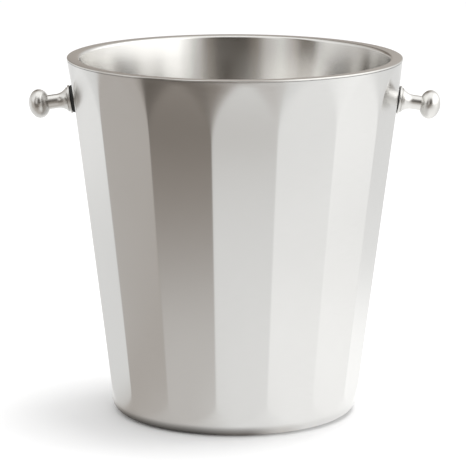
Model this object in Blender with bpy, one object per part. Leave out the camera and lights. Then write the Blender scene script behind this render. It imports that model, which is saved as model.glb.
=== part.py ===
"""Double-walled ice bucket with a sixteen-sided outer shell and a knob handle on each side.

Metres, +Z up. The origin is on the table under the middle of the base, and the knobs stand on the X axis.
On a bench the bucket comes apart into an outer shell, an inner liner whose flange makes the rim, a base
cover, and two knobs, each with its gasket, stud, washers and nut in the air gap between the two walls.
"""

from math import atan, atan2, cos, hypot, pi, radians, sin, sqrt, tan

import bmesh
import bpy
from mathutils import Vector

# Driving dimensions of the bucket
HEIGHT = 0.232
TOP_RADIUS = 0.108
WALL_TAPER = 0.1245
LINER_TAPER = 0.138
FACETS = 16
FACET_TURN = radians(3.4)
SHEET = 0.0008
RIM_WIDTH = 0.008
HEEL_RADIUS = 0.0085
FOOT_INNER_RADIUS = 0.058
LINER_FLOOR = 0.013
LINER_CORNER_RADIUS = 0.013
GAP = 0.0003

# The rim: the liner's flange has a short lip that sits on the shell's upper edge
LIP_DEPTH = 0.0012
RIM_EDGE_RADIUS = 0.0005
MOUTH_ROLL_RADIUS = 0.0022

# The facets start as a round band at the rim and sharpen on the way down
PRESS_START = 0.003
PRESS_LENGTH = 0.045
PRESS_POWER = 3
EDGE_RADIUS = 0.004
HEEL_BLEND = 0.014
CORNER_GROWTH = (pi / FACETS) / sin(pi / FACETS) - 1

# The knobs: heights below the rim, then distances along the knob's axis from the shell's face
KNOB_DROP = 0.0277
KNOB_TILT = radians(8.6)
GASKET_RADIUS = 0.0089
GASKET_THICKNESS = 0.0013
FLANGE_RADIUS = 0.0091
FLANGE_THICKNESS = 0.0013
FLANGE_EDGE_RADIUS = 0.0005
GROOVE_RADIUS = 0.0077
GROOVE_WIDTH = 0.0003
NECK_RADIUS = 0.0046
FLARE_RADIUS = 0.0085
FLARE_SWEEP = radians(53)
FLARE_START = 0.0110
BALL_RADIUS = 0.0093
BALL_HALF_LENGTH = 0.0068
BALL_CENTRE = 0.0225

# The fixings, an M4 stud with a thin nut
STUD_RADIUS = 0.0020
STUD_CHAMFER = 0.0003
STUD_REACH = 0.0105
HOLE_RADIUS = STUD_RADIUS + GAP
WASHER_RADIUS = 0.0045
WASHER_THICKNESS = 0.0007
WASHER_STAND_OFF = 0.0007
LOCK_WASHER_RADIUS = 0.0038
LOCK_WASHER_THICKNESS = 0.0008
LOCK_WASHER_SPLIT = 0.0008
NUT_ACROSS_FLATS = 0.0070
NUT_THICKNESS = 0.0020

# The base cover: a pressed disc with a raised middle
COVER_FLAT = 0.006
COVER_RISE = 0.0030
COVER_STEP = 0.005

# Mesh fineness
BODY_SEGMENTS = 64
COVER_SEGMENTS = 48
KNOB_SEGMENTS = 24
SMALL_SEGMENTS = 24
MERGE_DISTANCE = 1e-6
SHARP_ANGLE = radians(35)

# Colours, metallic value and roughness of each finish
SATIN_STEEL = ("satin_steel", (0.62, 0.61, 0.59, 1.0), 1.0, 0.28)
BRUSHED_STEEL = ("brushed_steel", (0.60, 0.58, 0.55, 1.0), 1.0, 0.30)
SATIN_NICKEL = ("satin_nickel", (0.66, 0.64, 0.61, 1.0), 1.0, 0.20)
BLACK_RUBBER = ("black_rubber", (0.012, 0.012, 0.012, 1.0), 0.0, 0.60)
ZINC_PLATE = ("zinc_plate", (0.55, 0.56, 0.58, 1.0), 1.0, 0.35)


# Outlines, as points of (radius, height)

def arc(centre, radii, start, end, steps):
    """Points along part of an ellipse, or of a circle when both radii are the same."""
    points = []
    for i in range(steps + 1):
        angle = start + (end - start) * i / steps
        points.append((centre[0] + radii[0] * cos(angle), centre[1] + radii[1] * sin(angle)))
    return points


def cone_radius(height, inset=0.0, taper=WALL_TAPER):
    """Radius of a wall that lies inset inside the rim's edge and leans out by the taper."""
    return TOP_RADIUS - inset - taper * (HEIGHT - height)


def corner(floor, radius, inset, taper, steps):
    """The rounded corner from a tapered wall down to the flat at the height of floor."""
    lean = atan(taper)
    centre_height = floor + radius
    centre_radius = cone_radius(centre_height, inset, taper) - radius / cos(lean)
    return arc((centre_radius, centre_height), (radius, radius), -lean, -pi / 2, steps)


# The facets

def rounded_polygon(corner_radius, edge_radius, sides, angle):
    """Radius of a regular polygon with rounded corners, at an angle from the middle of one side."""
    half = pi / sides
    from_middle = abs((angle + half) % (2 * half) - half)
    apothem = edge_radius + (corner_radius - edge_radius) * cos(half)
    if tan(from_middle) * apothem <= (apothem - edge_radius) * tan(half):
        return apothem / cos(from_middle)
    from_corner = half - from_middle
    arc_centre = (apothem - edge_radius) / cos(half)
    return arc_centre * cos(from_corner) + sqrt(edge_radius ** 2 - (arc_centre * sin(from_corner)) ** 2)


def pressed_depth(height):
    """How far the facets are formed at a height: 0 is round, 1 is a sharp polygon."""
    from_start = (HEIGHT - height - PRESS_START) / PRESS_LENGTH
    from_start = min(max(from_start, 0.0), 1.0)
    from_heel = (height - HEEL_RADIUS) / HEEL_BLEND
    from_heel = min(max(from_heel, 0.0), 1.0)
    return (1 - (1 - from_start) ** PRESS_POWER) * (1 - (1 - from_heel) ** 2)


def facet_scale(angle, height):
    """Radius of the pressed shell over that of the round cone it is pressed from."""
    round_radius = cone_radius(height)
    pressed = pressed_depth(height)
    corner_radius = round_radius * (1 + CORNER_GROWTH * pressed)
    edge_radius = round_radius * (1 - pressed) + EDGE_RADIUS * pressed
    return rounded_polygon(corner_radius, edge_radius, FACETS, angle) / round_radius


def press_facets(point):
    """Moves a point of the round shell to where the sixteen-sided press leaves it."""
    scale = facet_scale(atan2(point.y, point.x), point.z)
    return Vector((point.x * scale, point.y * scale, point.z))


def press_hexagon(point):
    """Moves a nut's outer points from its corner circle to its six flats, and leaves its bore round."""
    radius = hypot(point.x, point.y)
    if radius <= HOLE_RADIUS + MERGE_DISTANCE:
        return point.copy()
    scale = rounded_polygon(radius, MERGE_DISTANCE, 6, atan2(point.y, point.x)) / radius
    return Vector((point.x * scale, point.y * scale, point.z))


# Making objects

def material(finish):
    """The finish's material, made once."""
    name, colour, metallic, roughness = finish
    found = bpy.data.materials.get(name)
    if found:
        return found
    made = bpy.data.materials.new(name)
    made.use_nodes = True
    shader = made.node_tree.nodes["Principled BSDF"]
    shader.inputs["Base Color"].default_value = colour
    shader.inputs["Metallic"].default_value = metallic
    shader.inputs["Roughness"].default_value = roughness
    return made


def add_object(name, mesh, finish, parent=None, location=(0, 0, 0)):
    """Links one named object with its finish, placed in its parent's axes."""
    part = bpy.data.objects.new(name, mesh)
    bpy.context.scene.collection.objects.link(part)
    part.parent = parent
    part.location = location
    if finish:
        mesh.materials.append(material(finish))
    mesh.shade_smooth()
    mesh.set_sharp_from_angle(angle=SHARP_ANGLE)
    return part


def turned_mesh(name, outline, segments, is_ring=False, reshape=None):
    """Spins an outline round the Z axis; a ring's outline closes on itself, any other ends on the axis."""
    shape = bmesh.new()
    points = [shape.verts.new((radius, 0, height)) for radius, height in outline]
    edges = [shape.edges.new(pair) for pair in zip(points, points[1:])]
    if is_ring:
        edges.append(shape.edges.new((points[-1], points[0])))
    bmesh.ops.spin(
        shape, geom=points + edges, cent=(0, 0, 0), axis=(0, 0, 1),
        angle=2 * pi, steps=segments, use_merge=True)
    bmesh.ops.remove_doubles(shape, verts=shape.verts, dist=MERGE_DISTANCE)
    bmesh.ops.recalc_face_normals(shape, faces=shape.faces)
    if reshape:
        for vertex in shape.verts:
            vertex.co = reshape(vertex.co)
    mesh = bpy.data.meshes.new(name)
    shape.to_mesh(mesh)
    shape.free()
    return mesh


def ring_outline(inner_radius, outer_radius, thickness):
    """A flat ring's section, from its underside up."""
    return [(inner_radius, 0), (outer_radius, 0), (outer_radius, thickness), (inner_radius, thickness)]


def cut(part, cutter):
    """Cuts one object with another, which is then only a guide."""
    cutter.hide_render = True
    cutter.display_type = "WIRE"
    boolean = part.modifiers.new("cut_" + cutter.name, "BOOLEAN")
    boolean.operation = "DIFFERENCE"
    boolean.solver = "EXACT"
    boolean.object = cutter


# The bucket's sheet metal

def wall_heights(top, bottom):
    """Heights of the shell's rows: close where the facets form and fade, one long stretch between."""
    press_rows = 6
    heel_rows = 3
    rows = [top]
    for i in range(press_rows + 1):
        rows.append(HEIGHT - PRESS_START - PRESS_LENGTH * i / press_rows)
    for i in range(heel_rows):
        rows.append(bottom + HEEL_BLEND * (1 - i / heel_rows))
    return rows


def make_outer_shell():
    """The sixteen-sided skin, from under the rim's lip to the foot ring that the bucket stands on."""
    top = HEIGHT - LIP_DEPTH - GAP
    rows = wall_heights(top, HEEL_RADIUS)
    outside = [(cone_radius(height), height) for height in rows]
    outside += corner(0.0, HEEL_RADIUS, 0.0, WALL_TAPER, 4)
    outside.append((FOOT_INNER_RADIUS, 0.0))
    inside = [(cone_radius(height, SHEET), height) for height in rows]
    inside += corner(SHEET, HEEL_RADIUS - SHEET, SHEET, WALL_TAPER, 4)
    inside.append((FOOT_INNER_RADIUS, SHEET))
    outline = outside + inside[::-1]
    mesh = turned_mesh("outer_shell", outline, BODY_SEGMENTS, is_ring=True, reshape=press_facets)
    shell = add_object("outer_shell", mesh, SATIN_STEEL)
    shell.rotation_euler.z = FACET_TURN
    return shell


def make_inner_liner():
    """The bowl that holds the ice, rolled out at the mouth into the flange and lip of the rim."""
    mouth_inset = RIM_WIDTH
    wall_inset = mouth_inset - SHEET
    lean = atan(LINER_TAPER)
    roll_height = HEIGHT - MOUTH_ROLL_RADIUS
    roll_radius = cone_radius(roll_height, mouth_inset, LINER_TAPER) + MOUTH_ROLL_RADIUS / cos(lean)
    roll_centre = (roll_radius, roll_height)
    under_roll = MOUTH_ROLL_RADIUS - SHEET
    edge_centre = (TOP_RADIUS - RIM_EDGE_RADIUS, HEIGHT - RIM_EDGE_RADIUS)

    floor_top = LINER_FLOOR + SHEET
    under_corner = corner(LINER_FLOOR, LINER_CORNER_RADIUS, wall_inset, LINER_TAPER, 5)
    inner_corner = corner(floor_top, LINER_CORNER_RADIUS - SHEET, mouth_inset, LINER_TAPER, 5)

    outline = [(0.0, LINER_FLOOR)]
    outline += under_corner[::-1]
    outline += arc(roll_centre, (under_roll, under_roll), pi - lean, pi / 2, 3)
    outline.append((TOP_RADIUS - SHEET, HEIGHT - SHEET))
    outline.append((TOP_RADIUS - SHEET, HEIGHT - LIP_DEPTH))
    outline.append((TOP_RADIUS, HEIGHT - LIP_DEPTH))
    outline += arc(edge_centre, (RIM_EDGE_RADIUS, RIM_EDGE_RADIUS), 0, pi / 2, 3)
    outline += arc(roll_centre, (MOUTH_ROLL_RADIUS, MOUTH_ROLL_RADIUS), pi / 2, pi - lean, 4)
    outline += inner_corner
    outline.append((0.0, floor_top))
    mesh = turned_mesh("inner_liner", outline, BODY_SEGMENTS)
    return add_object("inner_liner", mesh, BRUSHED_STEEL)


def make_base_cover():
    """The pressed disc that closes the air gap, flush in the foot ring and raised in the middle."""
    edge = FOOT_INNER_RADIUS - GAP
    step_outer = edge - COVER_FLAT
    step_inner = step_outer - COVER_STEP
    under = [(edge, 0.0), (step_outer, 0.0), (step_inner, COVER_RISE), (0.0, COVER_RISE)]
    over = [(radius, height + SHEET) for radius, height in under]
    outline = under[::-1] + over
    mesh = turned_mesh("base_cover", outline, COVER_SEGMENTS)
    return add_object("base_cover", mesh, SATIN_STEEL)


# The knobs and what holds them

def knob_outline():
    """One turned piece: ball, neck, flare and flange, with a blind hole for the stud in its back."""
    back = 2 * GAP + GASKET_THICKNESS
    front = back + FLANGE_THICKNESS
    edge = FLANGE_RADIUS - FLANGE_EDGE_RADIUS
    round_edge = (FLANGE_EDGE_RADIUS, FLANGE_EDGE_RADIUS)
    flare_centre = (NECK_RADIUS + FLARE_RADIUS, FLARE_START)
    ball_meets_neck = -sqrt(1 - (NECK_RADIUS / BALL_RADIUS) ** 2)
    neck_angle = atan2(ball_meets_neck, NECK_RADIUS / BALL_RADIUS)

    outline = [(0.0, STUD_REACH + GAP), (HOLE_RADIUS, STUD_REACH + GAP), (HOLE_RADIUS, back)]
    outline += arc((edge, back + FLANGE_EDGE_RADIUS), round_edge, -pi / 2, 0, 2)
    outline += arc((edge, front - FLANGE_EDGE_RADIUS), round_edge, 0, pi / 2, 2)
    outline += [(GROOVE_RADIUS, front), (GROOVE_RADIUS, front + GROOVE_WIDTH)]
    outline += arc(flare_centre, (FLARE_RADIUS, FLARE_RADIUS), pi + FLARE_SWEEP, pi, 6)
    outline += arc((0.0, BALL_CENTRE), (BALL_RADIUS, BALL_HALF_LENGTH), neck_angle, pi / 2, 12)
    return outline


def stud_outline(inner_end):
    """A plain rod with chamfered ends, in place of the M4 thread."""
    narrow = STUD_RADIUS - STUD_CHAMFER
    return [
        (0.0, inner_end),
        (narrow, inner_end),
        (STUD_RADIUS, inner_end + STUD_CHAMFER),
        (STUD_RADIUS, STUD_REACH - STUD_CHAMFER),
        (narrow, STUD_REACH),
        (0.0, STUD_REACH),
    ]


def make_wall_guide():
    """A solid of the pressed wall near the knobs, a gap larger, that shapes the back of the gaskets."""
    top = HEIGHT - LIP_DEPTH
    bottom = HEIGHT - PRESS_START - PRESS_LENGTH
    rows = [height for height in wall_heights(top, HEEL_RADIUS) if height >= bottom - MERGE_DISTANCE]
    outline = [(0.0, top)]
    outline += [(cone_radius(height, -GAP), height) for height in rows]
    outline.append((0.0, rows[-1]))
    mesh = turned_mesh("wall_guide", outline, BODY_SEGMENTS, reshape=press_facets)
    wall_guide = add_object("wall_guide", mesh, None)
    wall_guide.rotation_euler.z = FACET_TURN
    return wall_guide


def make_handle(side, turn, shell, wall_guide):
    """One knob, its gasket, stud, washers and nut, all on one axis that points straight out to the side."""
    knob_height = HEIGHT - KNOB_DROP
    wall_radius = cone_radius(knob_height) * facet_scale(-FACET_TURN, knob_height)
    axis = bpy.data.objects.new("knob_axis_" + side, None)
    bpy.context.scene.collection.objects.link(axis)
    axis.location = (wall_radius * cos(turn), wall_radius * sin(turn), knob_height)
    axis.rotation_euler = (0, pi / 2 + KNOB_TILT, turn)

    knob_mesh = turned_mesh("knob_" + side, knob_outline(), KNOB_SEGMENTS)
    add_object("knob_" + side, knob_mesh, SATIN_NICKEL, axis)

    gasket_depth = 0.0015
    outline = ring_outline(HOLE_RADIUS, GASKET_RADIUS, gasket_depth + GAP + GASKET_THICKNESS)
    gasket_mesh = turned_mesh("gasket_" + side, outline, SMALL_SEGMENTS, is_ring=True)
    gasket = add_object("gasket_" + side, gasket_mesh, BLACK_RUBBER, axis, (0, 0, -gasket_depth))
    cut(gasket, wall_guide)

    hole_half = 0.004
    drill_outline = [(0.0, -hole_half), (HOLE_RADIUS, -hole_half), (HOLE_RADIUS, hole_half), (0.0, hole_half)]
    drill_mesh = turned_mesh("drill_" + side, drill_outline, SMALL_SEGMENTS)
    cut(shell, add_object("drill_" + side, drill_mesh, None, axis))

    washer_place = -(SHEET + WASHER_STAND_OFF + WASHER_THICKNESS)
    outline = ring_outline(HOLE_RADIUS, WASHER_RADIUS, WASHER_THICKNESS)
    washer_mesh = turned_mesh("washer_" + side, outline, SMALL_SEGMENTS, is_ring=True)
    add_object("washer_" + side, washer_mesh, ZINC_PLATE, axis, (0, 0, washer_place))

    lock_place = washer_place - GAP - LOCK_WASHER_THICKNESS
    outline = ring_outline(HOLE_RADIUS, LOCK_WASHER_RADIUS, LOCK_WASHER_THICKNESS)
    lock_mesh = turned_mesh("lock_washer_" + side, outline, SMALL_SEGMENTS, is_ring=True)
    lock_washer = add_object("lock_washer_" + side, lock_mesh, ZINC_PLATE, axis, (0, 0, lock_place))
    cut(lock_washer, make_split_guide(side, axis, lock_place))

    nut_place = lock_place - GAP - NUT_THICKNESS
    nut_corner_radius = NUT_ACROSS_FLATS / 2 / cos(pi / 6)
    outline = ring_outline(HOLE_RADIUS, nut_corner_radius, NUT_THICKNESS)
    nut_mesh = turned_mesh("nut_" + side, outline, SMALL_SEGMENTS, is_ring=True, reshape=press_hexagon)
    add_object("nut_" + side, nut_mesh, ZINC_PLATE, axis, (0, 0, nut_place))

    stud_mesh = turned_mesh("stud_" + side, stud_outline(nut_place), SMALL_SEGMENTS)
    add_object("stud_" + side, stud_mesh, ZINC_PLATE, axis)


def make_split_guide(side, axis, place):
    """A thin block that parts the spring washer on one side, so it is an open ring."""
    block = bmesh.new()
    bmesh.ops.create_cube(block, size=1.0)
    size = Vector((2 * LOCK_WASHER_RADIUS, LOCK_WASHER_SPLIT, 4 * LOCK_WASHER_THICKNESS))
    bmesh.ops.scale(block, vec=size, verts=block.verts)
    bmesh.ops.translate(block, vec=(LOCK_WASHER_RADIUS, 0, 0), verts=block.verts)
    mesh = bpy.data.meshes.new("split_" + side)
    block.to_mesh(mesh)
    block.free()
    return add_object("split_" + side, mesh, None, axis, (0, 0, place))


def clear_scene():
    """Removes whatever the scene holds before the bucket is built."""
    for old in list(bpy.data.objects):
        bpy.data.objects.remove(old, do_unlink=True)


def main():
    clear_scene()
    shell = make_outer_shell()
    make_inner_liner()
    make_base_cover()
    wall_guide = make_wall_guide()
    make_handle("right", 0.0, shell, wall_guide)
    make_handle("left", pi, shell, wall_guide)


main()
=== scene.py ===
"""The looks of the ice bucket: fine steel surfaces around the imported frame, a pale table and a soft studio.

Metres, +Z up, in the frame's own axes. The sections are sizes, outlines, mesh helpers, materials, the
bucket's pieces, the two handles, and the studio with its table, lights and camera.
"""

from math import atan, atan2, cos, hypot, pi, radians, sin, sqrt, tan

import bmesh
import bpy
from mathutils import Matrix, Vector


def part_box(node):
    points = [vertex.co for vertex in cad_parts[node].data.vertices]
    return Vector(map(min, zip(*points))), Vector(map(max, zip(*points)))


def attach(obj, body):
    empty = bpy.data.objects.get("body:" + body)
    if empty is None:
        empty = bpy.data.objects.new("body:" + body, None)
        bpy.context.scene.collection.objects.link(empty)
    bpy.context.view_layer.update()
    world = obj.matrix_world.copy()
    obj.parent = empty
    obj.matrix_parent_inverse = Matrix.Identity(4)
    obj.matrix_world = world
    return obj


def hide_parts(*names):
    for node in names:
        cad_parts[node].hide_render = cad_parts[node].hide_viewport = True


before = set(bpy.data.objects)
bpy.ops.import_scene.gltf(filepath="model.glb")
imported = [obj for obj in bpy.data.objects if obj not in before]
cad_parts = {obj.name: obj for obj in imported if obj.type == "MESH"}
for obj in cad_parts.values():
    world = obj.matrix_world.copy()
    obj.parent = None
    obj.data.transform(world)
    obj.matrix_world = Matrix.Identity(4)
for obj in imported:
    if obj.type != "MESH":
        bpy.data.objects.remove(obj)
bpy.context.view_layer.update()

# Sizes that the frame gives
liner_low, liner_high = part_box("inner_liner")
shell_low, shell_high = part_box("outer_shell")
TOP_RADIUS = liner_high.x
HEIGHT = liner_high.z
LINER_FLOOR = liner_low.z
LIP_DEPTH = HEIGHT - shell_high.z - 0.0003

# Sizes of the sheet metal, as in the CAD model
WALL_TAPER = 0.1245
LINER_TAPER = 0.138
FACETS = 16
FACET_TURN = radians(3.4)
SHEET = 0.0008
RIM_WIDTH = 0.008
HEEL_RADIUS = 0.0085
FOOT_INNER_RADIUS = 0.058
LINER_CORNER_RADIUS = 0.013
SEAM = 0.00018
RIM_EDGE_RADIUS = 0.0005
MOUTH_ROLL_RADIUS = 0.0022
SHEET_EDGE = 0.0002

# How the facets form below the rim and fade above the heel
PRESS_START = 0.003
PRESS_LENGTH = 0.045
PRESS_POWER = 3
EDGE_RADIUS = 0.004
HEEL_BLEND = 0.014
CORNER_GROWTH = (pi / FACETS) / sin(pi / FACETS) - 1

# The handles, as in the CAD model: a place below the rim, then distances along the knob's axis
KNOB_DROP = 0.0277
KNOB_TILT = radians(8.6)
GAP = 0.0003
GASKET_RADIUS = 0.0089
GASKET_THICKNESS = 0.0013
GASKET_EDGE = 0.0003
FLANGE_RADIUS = 0.0091
FLANGE_THICKNESS = 0.0013
FLANGE_EDGE_RADIUS = 0.0005
GROOVE_RADIUS = 0.0077
GROOVE_WIDTH = 0.0003
NECK_RADIUS = 0.0046
FLARE_RADIUS = 0.0085
FLARE_SWEEP = radians(53)
FLARE_START = 0.0110
BALL_RADIUS = 0.0093
BALL_HALF_LENGTH = 0.0068
BALL_CENTRE = 0.0225
STUD_RADIUS = 0.0020
STUD_REACH = 0.0105
THREAD_PITCH = 0.0007
THREAD_DEPTH = 0.0003
HOLE_RADIUS = STUD_RADIUS + GAP
WASHER_RADIUS = 0.0045
WASHER_THICKNESS = 0.0007
WASHER_STAND_OFF = 0.0007
LOCK_WASHER_RADIUS = 0.0038
LOCK_WASHER_THICKNESS = 0.0008
LOCK_WASHER_SPLIT = radians(14)
NUT_ACROSS_FLATS = 0.0070
NUT_THICKNESS = 0.0020
NUT_CHAMFER = 0.0003

# The base cover
COVER_FLAT = 0.006
COVER_RISE = 0.0030
COVER_STEP = 0.005

# The camera, over the table in front of the bucket
CAMERA_DISTANCE = 1.895
CAMERA_HEIGHT = 0.498
CAMERA_PITCH = 0.1989
CAMERA_ROLL = radians(0.13)
CAMERA_LENS = 229.5
CAMERA_SHIFT = -0.003

MERGE_DISTANCE = 1e-6
SHARP_ANGLE = radians(35)


# Outlines, as points of (radius, height)

def arc(centre, radii, start, end, steps):
    """Points along part of an ellipse, or of a circle when both radii are the same."""
    points = []
    for i in range(steps + 1):
        angle = start + (end - start) * i / steps
        points.append((centre[0] + radii[0] * cos(angle), centre[1] + radii[1] * sin(angle)))
    return points


def stretch(start, end, steps):
    """Points along a straight line, without its first."""
    points = []
    for i in range(1, steps + 1):
        share = i / steps
        points.append((start[0] + (end[0] - start[0]) * share, start[1] + (end[1] - start[1]) * share))
    return points


def cone_radius(height, inset=0.0, taper=WALL_TAPER):
    """Radius of a wall that lies inset inside the rim's edge and leans out by the taper."""
    return TOP_RADIUS - inset - taper * (HEIGHT - height)


def corner(floor, radius, inset, taper, steps):
    """The rounded corner from a tapered wall down to the flat at the height of floor."""
    lean = atan(taper)
    centre_height = floor + radius
    centre_radius = cone_radius(centre_height, inset, taper) - radius / cos(lean)
    return arc((centre_radius, centre_height), (radius, radius), -lean, -pi / 2, steps)


# The facets

def rounded_polygon(corner_radius, edge_radius, sides, angle):
    """Radius of a regular polygon with rounded corners, at an angle from the middle of one side."""
    half = pi / sides
    from_middle = abs((angle + half) % (2 * half) - half)
    apothem = edge_radius + (corner_radius - edge_radius) * cos(half)
    if tan(from_middle) * apothem <= (apothem - edge_radius) * tan(half):
        return apothem / cos(from_middle)
    from_corner = half - from_middle
    arc_centre = (apothem - edge_radius) / cos(half)
    return arc_centre * cos(from_corner) + sqrt(edge_radius ** 2 - (arc_centre * sin(from_corner)) ** 2)


def pressed_depth(height):
    """How far the facets are formed at a height: 0 is round, 1 is a sharp polygon."""
    from_start = min(max((HEIGHT - height - PRESS_START) / PRESS_LENGTH, 0.0), 1.0)
    from_heel = min(max((height - HEEL_RADIUS) / HEEL_BLEND, 0.0), 1.0)
    return (1 - (1 - from_start) ** PRESS_POWER) * (1 - (1 - from_heel) ** 2)


def facet_scale(angle, height):
    """Radius of the pressed shell at an angle from +X over that of the round cone it is pressed from."""
    round_radius = cone_radius(height)
    pressed = pressed_depth(height)
    corner_radius = round_radius * (1 + CORNER_GROWTH * pressed)
    edge_radius = round_radius * (1 - pressed) + EDGE_RADIUS * pressed
    return rounded_polygon(corner_radius, edge_radius, FACETS, angle - FACET_TURN) / round_radius


def facet_angles():
    """Angles round the shell, close together at the facets' edges and wide apart on the flats."""
    half = pi / FACETS
    steps = 12
    angles = []
    for facet in range(FACETS):
        edge = FACET_TURN + (2 * facet + 1) * half
        for i in range(-steps, steps):
            angles.append(edge + half * (i / steps) * abs(i / steps))
    return angles


def even_angles(count):
    """Angles at even steps round a turned piece."""
    return [2 * pi * i / count for i in range(count)]


# Mesh helpers

def finish_mesh(name, points, faces):
    """A mesh object with its faces turned out and its round parts shaded smooth."""
    mesh = bpy.data.meshes.new(name)
    mesh.from_pydata(points, [], faces)
    shape = bmesh.new()
    shape.from_mesh(mesh)
    bmesh.ops.remove_doubles(shape, verts=shape.verts, dist=MERGE_DISTANCE)
    bmesh.ops.recalc_face_normals(shape, faces=shape.faces)
    shape.to_mesh(mesh)
    shape.free()
    mesh.shade_smooth()
    mesh.set_sharp_from_angle(angle=SHARP_ANGLE)
    made = bpy.data.objects.new(name, mesh)
    bpy.context.scene.collection.objects.link(made)
    return made


def turned(name, outline, angles, is_ring=False, reshape=None):
    """Turns an outline round the Z axis; reshape moves each point, given as radius, angle and height."""
    points = []
    for radius, height in outline:
        for angle in angles:
            if reshape:
                new_radius, new_height = reshape(radius, angle, height)
            else:
                new_radius, new_height = radius, height
            points.append((new_radius * cos(angle), new_radius * sin(angle), new_height))
    around = len(angles)
    rows = len(outline)
    faces = []
    for row in range(rows if is_ring else rows - 1):
        next_row = (row + 1) % rows
        for i in range(around):
            j = (i + 1) % around
            faces.append((row * around + i, row * around + j, next_row * around + j, next_row * around + i))
    return finish_mesh(name, points, faces)


def stand_in(piece, node, surface):
    """The fine piece takes the CAD node's place and its finish."""
    piece.data.materials.append(surface)
    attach(piece, "root")
    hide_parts(node)
    return piece


# Materials

def new_material(name, colour, metallic, roughness):
    """A material with its Principled shader set, and the shader's nodes and links."""
    made = bpy.data.materials.new(name)
    made.use_nodes = True
    nodes = made.node_tree.nodes
    shader = nodes["Principled BSDF"]
    shader.inputs["Base Color"].default_value = (*colour, 1.0)
    shader.inputs["Metallic"].default_value = metallic
    shader.inputs["Roughness"].default_value = roughness
    return made, nodes, made.node_tree.links, shader


def math_node(nodes, links, operation, *values):
    """A Math node; each value is a number or an output socket."""
    node = nodes.new("ShaderNodeMath")
    node.operation = operation
    for i, value in enumerate(values):
        if isinstance(value, bpy.types.NodeSocket):
            links.new(value, node.inputs[i])
        else:
            node.inputs[i].default_value = value
    return node.outputs[0]


def noise_node(nodes, links, vector, scale, detail=2.0):
    """A Noise texture's factor at a place."""
    node = nodes.new("ShaderNodeTexNoise")
    links.new(vector, node.inputs["Vector"])
    node.inputs["Scale"].default_value = scale
    node.inputs["Detail"].default_value = detail
    return node.outputs["Fac"]


def range_node(nodes, links, value, low, high):
    """Maps a factor from 0..1 to low..high."""
    node = nodes.new("ShaderNodeMapRange")
    links.new(value, node.inputs["Value"])
    node.inputs["To Min"].default_value = low
    node.inputs["To Max"].default_value = high
    return node.outputs["Result"]


def vector_node(nodes, links, x, y, z):
    """Joins three values into a vector."""
    node = nodes.new("ShaderNodeCombineXYZ")
    for socket, value in zip(node.inputs, (x, y, z)):
        if isinstance(value, bpy.types.NodeSocket):
            links.new(value, socket)
        else:
            socket.default_value = value
    return node.outputs["Vector"]


def object_axes(nodes, links):
    """The object's own x, y and z at the shaded point."""
    place = nodes.new("ShaderNodeTexCoord")
    split = nodes.new("ShaderNodeSeparateXYZ")
    links.new(place.outputs["Object"], split.inputs[0])
    return split.outputs["X"], split.outputs["Y"], split.outputs["Z"]


def bump(nodes, links, shader, height, distance, strength):
    """Fine relief on the shader's normal."""
    node = nodes.new("ShaderNodeBump")
    node.inputs["Strength"].default_value = strength
    node.inputs["Distance"].default_value = distance
    links.new(height, node.inputs["Height"])
    links.new(node.outputs["Normal"], shader.inputs["Normal"])


def tint(nodes, links, shader, factor, dark, light):
    """Base colour between two shades of the metal."""
    node = nodes.new("ShaderNodeMix")
    node.data_type = "RGBA"
    links.new(factor, node.inputs["Factor"])
    node.inputs["A"].default_value = (*dark, 1.0)
    node.inputs["B"].default_value = (*light, 1.0)
    links.new(node.outputs["Result"], shader.inputs["Base Color"])


def grain_material(name, dark, light, roughness, along_scale, across_scale, around, relief):
    """Brushed steel. around brushes in circles about the Z axis; otherwise the grain runs down the wall."""
    made, nodes, links, shader = new_material(name, light, 1.0, sum(roughness) / 2)
    x, y, z = object_axes(nodes, links)
    angle = math_node(nodes, links, "ARCTAN2", y, x)
    radius = math_node(nodes, links, "SQRT", math_node(
        nodes, links, "ADD", math_node(nodes, links, "MULTIPLY", x, x), math_node(nodes, links, "MULTIPLY", y, y)))
    if around:
        along = math_node(nodes, links, "MULTIPLY", angle, along_scale)
        across = math_node(nodes, links, "MULTIPLY", math_node(nodes, links, "ADD", z, radius), across_scale)
    else:
        along = math_node(nodes, links, "MULTIPLY", z, along_scale)
        across = math_node(nodes, links, "MULTIPLY", angle, across_scale)
    grain = noise_node(nodes, links, vector_node(nodes, links, along, across, 0.0), 1.0, 3.0)
    cloud = noise_node(nodes, links, vector_node(nodes, links, x, y, z), 14.0, 2.0)
    mixed = math_node(nodes, links, "ADD", math_node(nodes, links, "MULTIPLY", grain, 0.6),
                      math_node(nodes, links, "MULTIPLY", cloud, 0.4))
    tint(nodes, links, shader, mixed, dark, light)
    links.new(range_node(nodes, links, mixed, *roughness), shader.inputs["Roughness"])
    bump(nodes, links, shader, grain, relief, 0.35)
    return made


def brush_round_axis(made):
    """Stretches the highlights up and down the wall, as brushing round the bowl does."""
    nodes = made.node_tree.nodes
    shader = nodes["Principled BSDF"]
    grain_direction = nodes.new("ShaderNodeTangent")
    grain_direction.direction_type = "RADIAL"
    grain_direction.axis = "Z"
    made.node_tree.links.new(grain_direction.outputs["Tangent"], shader.inputs["Tangent"])
    shader.inputs["Anisotropic"].default_value = 0.85
    shader.inputs["Anisotropic Rotation"].default_value = 0.25


def make_rubber():
    """Matt black rubber with a very fine grain."""
    made, nodes, links, shader = new_material("black_rubber_look", (0.012, 0.012, 0.012), 0.0, 0.6)
    x, y, z = object_axes(nodes, links)
    place = vector_node(nodes, links, x, y, z)
    speckle = noise_node(nodes, links, place, 4000.0, 2.0)
    tint(nodes, links, shader, speckle, (0.008, 0.008, 0.008), (0.018, 0.018, 0.017))
    links.new(range_node(nodes, links, speckle, 0.5, 0.7), shader.inputs["Roughness"])
    bump(nodes, links, shader, speckle, 0.00004, 0.5)
    return made


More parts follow.
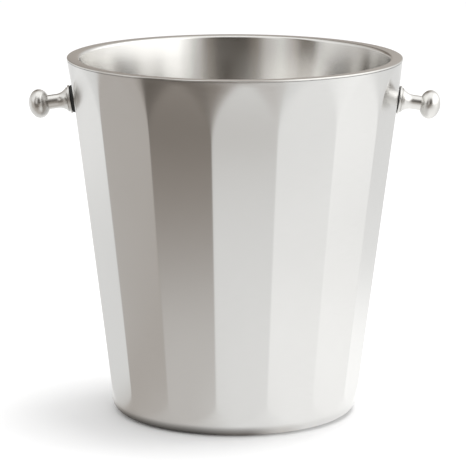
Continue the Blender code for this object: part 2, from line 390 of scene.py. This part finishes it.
def make_zinc():
    """Zinc plate on the hidden fixings: cool, slightly cloudy."""
    made, nodes, links, shader = new_material("zinc_plate_look", (0.55, 0.56, 0.58), 1.0, 0.35)
    x, y, z = object_axes(nodes, links)
    place = vector_node(nodes, links, x, y, z)
    cloud = noise_node(nodes, links, place, 900.0, 3.0)
    tint(nodes, links, shader, cloud, (0.45, 0.46, 0.48), (0.62, 0.63, 0.64))
    links.new(range_node(nodes, links, cloud, 0.25, 0.45), shader.inputs["Roughness"])
    return made


satin_steel = grain_material(
    "satin_steel_look", (0.645, 0.64, 0.63), (0.745, 0.742, 0.735), (0.14, 0.20), 10.0, 1600.0, True, 0.000002)
brushed_steel = grain_material(
    "brushed_steel_look", (0.66, 0.65, 0.63), (0.73, 0.72, 0.70), (0.17, 0.22), 3.0, 2500.0, True, 0.000004)
satin_nickel = grain_material(
    "satin_nickel_look", (0.70, 0.69, 0.67), (0.76, 0.75, 0.73), (0.25, 0.31), 6.0, 6000.0, True, 0.000004)
brush_round_axis(satin_steel)
brush_round_axis(brushed_steel)
black_rubber = make_rubber()
zinc_plate = make_zinc()


# The bucket's sheet metal

def shell_rows(top):
    """Heights of the shell's rows from its upper edge to the top of the heel."""
    rows = [top, HEIGHT - PRESS_START]
    press_rows = 26
    body_rows = 12
    heel_rows = 12
    for i in range(1, press_rows + 1):
        rows.append(HEIGHT - PRESS_START - PRESS_LENGTH * i / press_rows)
    body_top = HEIGHT - PRESS_START - PRESS_LENGTH
    body_foot = HEEL_RADIUS + HEEL_BLEND
    for i in range(1, body_rows + 1):
        rows.append(body_top + (body_foot - body_top) * i / body_rows)
    for i in range(1, heel_rows):
        rows.append(body_foot - HEEL_BLEND * i / heel_rows)
    return rows


def press(radius, angle, height):
    """Where the sixteen-sided press leaves a point of the round shell."""
    return radius * facet_scale(angle, height), height


def make_outer_shell():
    """The faceted skin, with its heel and its foot ring."""
    top = HEIGHT - LIP_DEPTH - SEAM
    rows = shell_rows(top)
    outside = [(cone_radius(height), height) for height in rows]
    outside += corner(0.0, HEEL_RADIUS, 0.0, WALL_TAPER, 14)
    outside.append((FOOT_INNER_RADIUS + SHEET_EDGE, 0.0))
    outside.append((FOOT_INNER_RADIUS, SHEET_EDGE))
    inside = [(cone_radius(height, SHEET), height) for height in rows]
    inside += corner(SHEET, HEEL_RADIUS - SHEET, SHEET, WALL_TAPER, 10)
    inside.append((FOOT_INNER_RADIUS, SHEET))
    shell = turned("outer_shell_skin", outside + inside[::-1], facet_angles(), is_ring=True, reshape=press)
    return stand_in(shell, "outer_shell", satin_steel)


def make_inner_liner():
    """The bowl, its floor and rounded corner, and the rim that it rolls out into."""
    wall_inset = RIM_WIDTH - SHEET
    lean = atan(LINER_TAPER)
    roll_height = HEIGHT - MOUTH_ROLL_RADIUS
    roll_radius = cone_radius(roll_height, RIM_WIDTH, LINER_TAPER) + MOUTH_ROLL_RADIUS / cos(lean)
    roll_centre = (roll_radius, roll_height)
    under_roll = MOUTH_ROLL_RADIUS - SHEET
    edge_centre = (TOP_RADIUS - RIM_EDGE_RADIUS, HEIGHT - RIM_EDGE_RADIUS)
    floor_top = LINER_FLOOR + SHEET
    under_corner = corner(LINER_FLOOR, LINER_CORNER_RADIUS, wall_inset, LINER_TAPER, 12)
    inner_corner = corner(floor_top, LINER_CORNER_RADIUS - SHEET, RIM_WIDTH, LINER_TAPER, 14)
    mouth_roll = arc(roll_centre, (MOUTH_ROLL_RADIUS, MOUTH_ROLL_RADIUS), pi / 2, pi - lean, 10)

    outline = [(0.0, LINER_FLOOR)]
    outline += under_corner[::-1]
    outline += arc(roll_centre, (under_roll, under_roll), pi - lean, pi / 2, 6)
    outline.append((TOP_RADIUS - SHEET, HEIGHT - SHEET))
    outline.append((TOP_RADIUS - SHEET, HEIGHT - LIP_DEPTH))
    outline.append((TOP_RADIUS - SHEET_EDGE, HEIGHT - LIP_DEPTH))
    outline.append((TOP_RADIUS, HEIGHT - LIP_DEPTH + SHEET_EDGE))
    outline += arc(edge_centre, (RIM_EDGE_RADIUS, RIM_EDGE_RADIUS), 0, pi / 2, 8)
    outline += mouth_roll
    outline += stretch(mouth_roll[-1], inner_corner[0], 16)
    outline += inner_corner[1:]
    outline += stretch(inner_corner[-1], (0.0, floor_top), 8)
    liner = turned("inner_liner_skin", outline, even_angles(256))
    return stand_in(liner, "inner_liner", brushed_steel)


def make_base_cover():
    """The pressed disc in the foot ring, its step rounded at both ends."""
    edge = FOOT_INNER_RADIUS - GAP
    step_middle = edge - COVER_FLAT - COVER_STEP / 2
    steps = 12
    under = [(edge, SHEET_EDGE), (edge - SHEET_EDGE, 0.0)]
    for i in range(steps + 1):
        share = i / steps
        radius = step_middle + COVER_STEP / 2 - COVER_STEP * share
        under.append((radius, COVER_RISE * (1 - cos(pi * share)) / 2))
    under.append((0.0, COVER_RISE))
    over = [(radius, height + SHEET) for radius, height in under[2:]]
    outline = under[::-1] + [(edge, SHEET)] + over
    cover = turned("base_cover_skin", outline, even_angles(128))
    return stand_in(cover, "base_cover", satin_steel)


# The handles

def knob_outline():
    """Ball, neck, flare and flange, with the blind hole for the stud in the back."""
    back = 2 * GAP + GASKET_THICKNESS
    front = back + FLANGE_THICKNESS
    edge = FLANGE_RADIUS - FLANGE_EDGE_RADIUS
    round_edge = (FLANGE_EDGE_RADIUS, FLANGE_EDGE_RADIUS)
    flare_centre = (NECK_RADIUS + FLARE_RADIUS, FLARE_START)
    ball_meets_neck = -sqrt(1 - (NECK_RADIUS / BALL_RADIUS) ** 2)
    neck_angle = atan2(ball_meets_neck, NECK_RADIUS / BALL_RADIUS)
    flare = arc(flare_centre, (FLARE_RADIUS, FLARE_RADIUS), pi + FLARE_SWEEP, pi, 20)
    ball = arc((0.0, BALL_CENTRE), (BALL_RADIUS, BALL_HALF_LENGTH), neck_angle, pi / 2, 48)

    outline = [(0.0, STUD_REACH + GAP), (HOLE_RADIUS, STUD_REACH + GAP), (HOLE_RADIUS, back)]
    outline += arc((edge, back + FLANGE_EDGE_RADIUS), round_edge, -pi / 2, 0, 6)
    outline += arc((edge, front - FLANGE_EDGE_RADIUS), round_edge, 0, pi / 2, 6)
    outline += [(GROOVE_RADIUS, front), (GROOVE_RADIUS, front + GROOVE_WIDTH)]
    outline += flare
    outline += stretch(flare[-1], ball[0], 4)
    outline += ball[1:]
    return outline


def stud_point(radius, angle, height):
    """Cuts an M4 thread into a plain rod: the groove climbs one pitch for each turn."""
    if radius < STUD_RADIUS - MERGE_DISTANCE:
        return radius, height
    turn = (height / THREAD_PITCH - angle / (2 * pi)) % 1.0
    return radius - THREAD_DEPTH * abs(2 * turn - 1), height


def nut_point(radius, angle, height):
    """Moves a nut's outer points to its six flats, with its corners turned off at both faces."""
    if radius <= HOLE_RADIUS + MERGE_DISTANCE:
        return radius, height
    flat_radius = rounded_polygon(radius, MERGE_DISTANCE, 6, angle)
    from_face = min(height, NUT_THICKNESS - height)
    turned_off = radius - max(NUT_CHAMFER - from_face, 0.0) / tan(radians(30))
    return min(flat_radius, turned_off), height


def ring_outline(inner_radius, outer_radius, thickness, edge):
    """A flat ring's section with its four edges broken."""
    return [
        (inner_radius + edge, 0.0),
        (outer_radius - edge, 0.0),
        (outer_radius, edge),
        (outer_radius, thickness - edge),
        (outer_radius - edge, thickness),
        (inner_radius + edge, thickness),
        (inner_radius, thickness - edge),
        (inner_radius, edge),
    ]


def make_split_ring(name):
    """The spring washer: an open ring whose two ends stand a little apart in height."""
    section = ring_outline(HOLE_RADIUS, LOCK_WASHER_RADIUS, LOCK_WASHER_THICKNESS * 0.8, 0.00008)
    steps = 60
    sweep = 2 * pi - LOCK_WASHER_SPLIT
    points = []
    for i in range(steps + 1):
        angle = LOCK_WASHER_SPLIT / 2 + sweep * i / steps
        rise = LOCK_WASHER_THICKNESS * 0.2 * i / steps
        points += [(radius * cos(angle), radius * sin(angle), height + rise) for radius, height in section]
    sides = len(section)
    faces = [tuple(range(sides)), tuple(range(steps * sides, (steps + 1) * sides))]
    for i in range(steps):
        for j in range(sides):
            k = (j + 1) % sides
            faces.append((i * sides + j, i * sides + k, (i + 1) * sides + k, (i + 1) * sides + j))
    return finish_mesh(name, points, faces)


def wall_along_axis(radius, angle, to_world):
    """How far along the knob's axis the shell's face lies, for a point beside the axis."""
    distance = 0.0
    for _ in range(6):
        place = to_world @ Vector((radius * cos(angle), radius * sin(angle), distance))
        wall = cone_radius(place.z) * facet_scale(atan2(place.y, place.x), place.z)
        distance += wall - hypot(place.x, place.y)
    return distance


def make_gasket(name, to_world):
    """The rubber ring, flat against the flange and moulded to the wall behind it."""
    def mould(radius, angle, height):
        if height > GASKET_THICKNESS / 2:
            return radius, height + GAP
        return radius, height + wall_along_axis(radius, angle, to_world) + GAP / 2
    outline = ring_outline(HOLE_RADIUS, GASKET_RADIUS, GASKET_THICKNESS, GASKET_EDGE)
    outline = outline[:2] + stretch(outline[1], outline[2], 3) + stretch(outline[3], outline[4], 3) + outline[5:]
    return turned(name, outline, even_angles(96), is_ring=True, reshape=mould)


def make_handle(side, turn):
    """One knob and what fixes it, on one axis that points straight out to the side."""
    knob_height = HEIGHT - KNOB_DROP
    wall_radius = cone_radius(knob_height) * facet_scale(0.0, knob_height)
    at_right = (
        Matrix.Translation((wall_radius, 0, knob_height))
        @ Matrix.Rotation(pi / 2 + KNOB_TILT, 4, "Y"))
    to_world = Matrix.Rotation(turn, 4, "Z") @ at_right
    washer_place = -(SHEET + WASHER_STAND_OFF + WASHER_THICKNESS)
    lock_place = washer_place - GAP - LOCK_WASHER_THICKNESS
    nut_place = lock_place - GAP - NUT_THICKNESS
    nut_corner_radius = NUT_ACROSS_FLATS / 2 / cos(pi / 6)

    knob = turned("knob_%s_turned" % side, knob_outline(), even_angles(96))
    gasket = make_gasket("gasket_%s_moulded" % side, at_right)
    washer = turned(
        "washer_%s_flat" % side,
        ring_outline(HOLE_RADIUS, WASHER_RADIUS, WASHER_THICKNESS, 0.00008), even_angles(64), is_ring=True)
    lock_washer = make_split_ring("lock_washer_%s_split" % side)
    nut_section = [
        (HOLE_RADIUS, 0.0),
        (nut_corner_radius, 0.0),
        (nut_corner_radius, NUT_CHAMFER),
        (nut_corner_radius, NUT_THICKNESS - NUT_CHAMFER),
        (nut_corner_radius, NUT_THICKNESS),
        (HOLE_RADIUS, NUT_THICKNESS),
    ]
    nut = turned("nut_%s_hexagon" % side, nut_section, even_angles(96), is_ring=True, reshape=nut_point)
    rod = [(0.0, nut_place), (STUD_RADIUS - THREAD_DEPTH, nut_place)]
    rod += stretch((STUD_RADIUS, nut_place), (STUD_RADIUS, STUD_REACH - THREAD_DEPTH), 150)
    rod += [(STUD_RADIUS - THREAD_DEPTH, STUD_REACH), (0.0, STUD_REACH)]
    stud = turned("stud_%s_threaded" % side, rod, even_angles(32), reshape=stud_point)

    placed = (
        (knob, "knob_", "satin_nickel", satin_nickel, 0.0),
        (gasket, "gasket_", "black_rubber", black_rubber, 0.0),
        (washer, "washer_", "zinc_plate", zinc_plate, washer_place),
        (lock_washer, "lock_washer_", "zinc_plate", zinc_plate, lock_place),
        (nut, "nut_", "zinc_plate", zinc_plate, nut_place),
        (stud, "stud_", "zinc_plate", zinc_plate, 0.0),
    )
    for piece, node_start, slot_name, surface, place in placed:
        piece.matrix_world = to_world @ Matrix.Translation((0, 0, place))
        stand_in(piece, node_start + side, surface)


# The studio. Directions are angles round the bucket from the camera's side, positive to the right.

def studio_grey(tone):
    """A grey for the painted reflections, neutral where it is light and warm where it is dark."""
    darkness = min(max((0.85 - tone) / 0.6, 0.0), 1.0)
    return (tone, tone * (1.0 - 0.13 * darkness), tone * (0.99 - 0.24 * darkness), 1.0)


def ramp_node(nodes, links, factor, stops):
    """Grey tones by direction: each stop is an angle in degrees and a tone."""
    node = nodes.new("ShaderNodeValToRGB")
    node.color_ramp.interpolation = "EASE"
    elements = node.color_ramp.elements
    while len(elements) > 1:
        elements.remove(elements[-1])
    elements[0].position = 0.0
    first = True
    for angle, tone in stops:
        position = angle / 360 + 0.5
        element = elements[0] if first else elements.new(position)
        first = False
        element.position = position
        element.color = studio_grey(tone)
    links.new(factor, node.inputs["Fac"])
    return node.outputs["Color"]


def direction_factor(nodes, links, x, y):
    """The angle round the bucket as 0..1, with the camera's side at 0.5."""
    ahead = math_node(nodes, links, "MULTIPLY", y, -1.0)
    angle = math_node(nodes, links, "ARCTAN2", x, ahead)
    share = math_node(nodes, links, "DIVIDE", angle, 2 * pi)
    return math_node(nodes, links, "ADD", share, 0.5)


def mix_node(nodes, links, factor, first, second):
    """One colour or the other by a factor."""
    node = nodes.new("ShaderNodeMix")
    node.data_type = "RGBA"
    links.new(factor, node.inputs["Factor"])
    for socket, value in ((node.inputs["A"], first), (node.inputs["B"], second)):
        if isinstance(value, bpy.types.NodeSocket):
            links.new(value, socket)
        else:
            socket.default_value = value
    return node.outputs["Result"]


def smooth_step(nodes, links, value, low, high):
    """0 below low, 1 above high, smooth between."""
    node = nodes.new("ShaderNodeMapRange")
    node.interpolation_type = "SMOOTHSTEP"
    links.new(value, node.inputs["Value"])
    node.inputs["From Min"].default_value = low
    node.inputs["From Max"].default_value = high
    return node.outputs["Result"]


# Painted reflection: tones of the table that only glossy rays see, in rings by distance, darker where flags would
# shade it and brighter towards the right.
FAR_TABLE_PAINTED_REFLECTION = (
    (-180, 0.85), (-150, 0.88), (-130, 1.02), (-114, 0.92), (-107, 0.88), (-100, 0.56), (-70, 0.58),
    (-66, 0.48), (-61, 0.15), (-37, 0.17), (-24, 0.19), (-13, 0.26), (-3, 0.36), (5, 0.54), (21, 0.66),
    (30, 0.72), (38, 0.90), (55, 1.03), (77, 1.20), (92, 1.25), (114, 0.98), (137, 0.90), (180, 0.85))
MIDDLE_TABLE_PAINTED_REFLECTION = (
    (-180, 0.95), (-146, 1.01), (-109, 0.86), (-72, 0.53), (-33, 0.34), (6, 0.93), (45, 1.06),
    (84, 1.17), (110, 1.05), (130, 0.95), (180, 0.95))
NEAR_TABLE_PAINTED_REFLECTION = (
    (-180, 1.00), (-102, 0.89), (-68, 0.56), (-30, 0.70), (6, 1.00), (42, 1.17), (80, 1.25),
    (115, 1.25), (180, 1.05))
# Painted contact shadow round the base in the table's reflection: dark on the left and front, light on the right.
PAINTED_CONTACT_SHADOW = (
    (-180, 0.40), (-100, 0.15), (-60, 0.03), (-20, 0.03), (5, 0.12), (25, 0.70), (40, 0.95), (100, 0.95), (180, 0.40))
# Painted reflection of the studio's walls, seen only by glossy rays: dark and bright sides by direction, low and at
# the horizon.
LOW_WALLS_PAINTED_REFLECTION = (
    (-180, 0.40), (-160, 0.70), (-140, 0.95), (-110, 0.60), (-76, 0.58), (-72, 0.46), (-67, 0.13),
    (-40, 0.14), (-26, 0.16), (-14, 0.24), (-3, 0.34), (6, 0.54), (23, 0.64), (33, 0.72), (42, 0.90),
    (60, 1.03), (84, 1.20), (100, 1.20), (125, 0.95), (150, 0.80), (180, 0.40))
HORIZON_PAINTED_REFLECTION = (
    (-180, 0.50), (-168, 0.18), (-154, 0.30), (-145, 0.60), (-120, 0.80), (-100, 1.00), (-78, 1.15),
    (-69, 0.95), (-63, 0.20), (-54, 0.20), (-46, 0.66), (-36, 1.00), (-26, 0.75), (-16, 0.24), (-8, 0.06),
    (12, 0.06), (20, 0.22), (30, 0.80), (38, 1.40), (46, 2.00), (105, 2.00), (125, 1.70), (150, 0.90), (180, 0.50))


def make_table():
    """A pale table. What the steel mirrors of it is a painted reflection: glowing tones by direction and distance,
    painted shade as flags would cast and painted light towards the right.
    """
    size = 6.0
    mesh = bpy.data.meshes.new("table_top")
    mesh.from_pydata([(-size, -size, 0), (size, -size, 0), (size, size, 0), (-size, size, 0)], [], [(0, 1, 2, 3)])
    table = bpy.data.objects.new("table_top", mesh)
    bpy.context.scene.collection.objects.link(table)
    table.location.z = -0.0001

    made, nodes, links, shader = new_material("pale_table_painted_reflection", (0.86, 0.86, 0.86), 0.0, 0.9)
    shader.inputs["Specular IOR Level"].default_value = 0.1
    x, y, z = object_axes(nodes, links)
    around = direction_factor(nodes, links, x, y)
    distance = math_node(nodes, links, "SQRT", math_node(
        nodes, links, "ADD", math_node(nodes, links, "MULTIPLY", x, x), math_node(nodes, links, "MULTIPLY", y, y)))
    # The painted contact shadow near the base, then the rings of painted reflection further out.
    tone = ramp_node(nodes, links, around, PAINTED_CONTACT_SHADOW)
    rings = ((NEAR_TABLE_PAINTED_REFLECTION, 0.071, 0.094), (MIDDLE_TABLE_PAINTED_REFLECTION, 0.20, 0.48), (FAR_TABLE_PAINTED_REFLECTION, 0.50, 0.66))
    for stops, inner, outer in rings:
        ring = ramp_node(nodes, links, around, stops)
        tone = mix_node(nodes, links, smooth_step(nodes, links, distance, inner, outer), tone, ring)
    # The painted reflection glows for glossy rays only; the camera and matt rays see the plain pale table.
    painted_reflection = nodes.new("ShaderNodeEmission")
    links.new(tone, painted_reflection.inputs["Color"])
    rays = nodes.new("ShaderNodeLightPath")
    mixed = nodes.new("ShaderNodeMixShader")
    links.new(rays.outputs["Is Glossy Ray"], mixed.inputs["Fac"])
    links.new(shader.outputs["BSDF"], mixed.inputs[1])
    links.new(painted_reflection.outputs["Emission"], mixed.inputs[2])
    links.new(mixed.outputs["Shader"], nodes["Material Output"].inputs["Surface"])
    mesh.materials.append(made)


def make_world():
    """White to the camera and to the table; only glossy rays see the studio, a painted reflection with dark and
    bright sides and a painted bright ceiling.
    """
    world = bpy.data.worlds.new("studio")
    bpy.context.scene.world = world
    world.use_nodes = True
    nodes = world.node_tree.nodes
    links = world.node_tree.links
    x, y, z = object_axes_of_world(nodes, links)
    around = direction_factor(nodes, links, x, y)
    low = ramp_node(nodes, links, around, LOW_WALLS_PAINTED_REFLECTION)
    high = ramp_node(nodes, links, around, HORIZON_PAINTED_REFLECTION)
    walls = mix_node(nodes, links, smooth_step(nodes, links, z, 0.04, 0.16), low, high)
    # A painted bright ceiling in the reflection.
    overhead = smooth_step(nodes, links, z, 0.72, 0.92)
    studio = mix_node(nodes, links, overhead, walls, (1.25, 1.25, 1.24, 1.0))
    rays = nodes.new("ShaderNodeLightPath")
    room = mix_node(nodes, links, rays.outputs["Is Diffuse Ray"], (1.0, 1.0, 1.0, 1.0), (1.12, 1.12, 1.12, 1.0))
    seen = mix_node(nodes, links, rays.outputs["Is Glossy Ray"], room, studio)
    links.new(seen, nodes["Background"].inputs["Color"])


def object_axes_of_world(nodes, links):
    """The direction of a ray that leaves the scene."""
    place = nodes.new("ShaderNodeTexCoord")
    split = nodes.new("ShaderNodeSeparateXYZ")
    links.new(place.outputs["Generated"], split.inputs[0])
    return split.outputs["X"], split.outputs["Y"], split.outputs["Z"]


def make_key_light():
    """A wide softbox overhead and a little to the right, for the soft shadow under the overhang on the left."""
    light = bpy.data.lights.new("key_softbox", "AREA")
    light.shape = "RECTANGLE"
    light.size = 0.9
    light.size_y = 0.9
    light.energy = 17
    key = bpy.data.objects.new("key_softbox", light)
    bpy.context.scene.collection.objects.link(key)
    key.location = (0.30, 0.15, 1.6)
    key.rotation_mode = "QUATERNION"
    key.rotation_quaternion = (key.location - Vector((0, 0, 0.1))).to_track_quat("Z", "Y")
    key.visible_glossy = False


def make_camera():
    """A long lens in front of the bucket, looking slightly down on it."""
    camera = bpy.data.cameras.new("camera")
    camera.lens = CAMERA_LENS
    camera.sensor_width = 36
    camera.shift_x = CAMERA_SHIFT
    camera.clip_start = 0.1
    camera.clip_end = 50
    holder = bpy.data.objects.new("camera", camera)
    bpy.context.scene.collection.objects.link(holder)
    holder.location = (0, -CAMERA_DISTANCE, CAMERA_HEIGHT)
    looking_down = Matrix.Rotation(pi / 2 - CAMERA_PITCH, 3, "X") @ Matrix.Rotation(CAMERA_ROLL, 3, "Z")
    holder.rotation_euler = looking_down.to_euler()
    bpy.context.scene.camera = holder


make_camera()
make_outer_shell()
make_inner_liner()
make_base_cover()
make_handle("right", 0.0)
make_handle("left", pi)
make_table()
make_world()
make_key_light()
bpy.context.scene.view_settings.view_transform = "Standard"
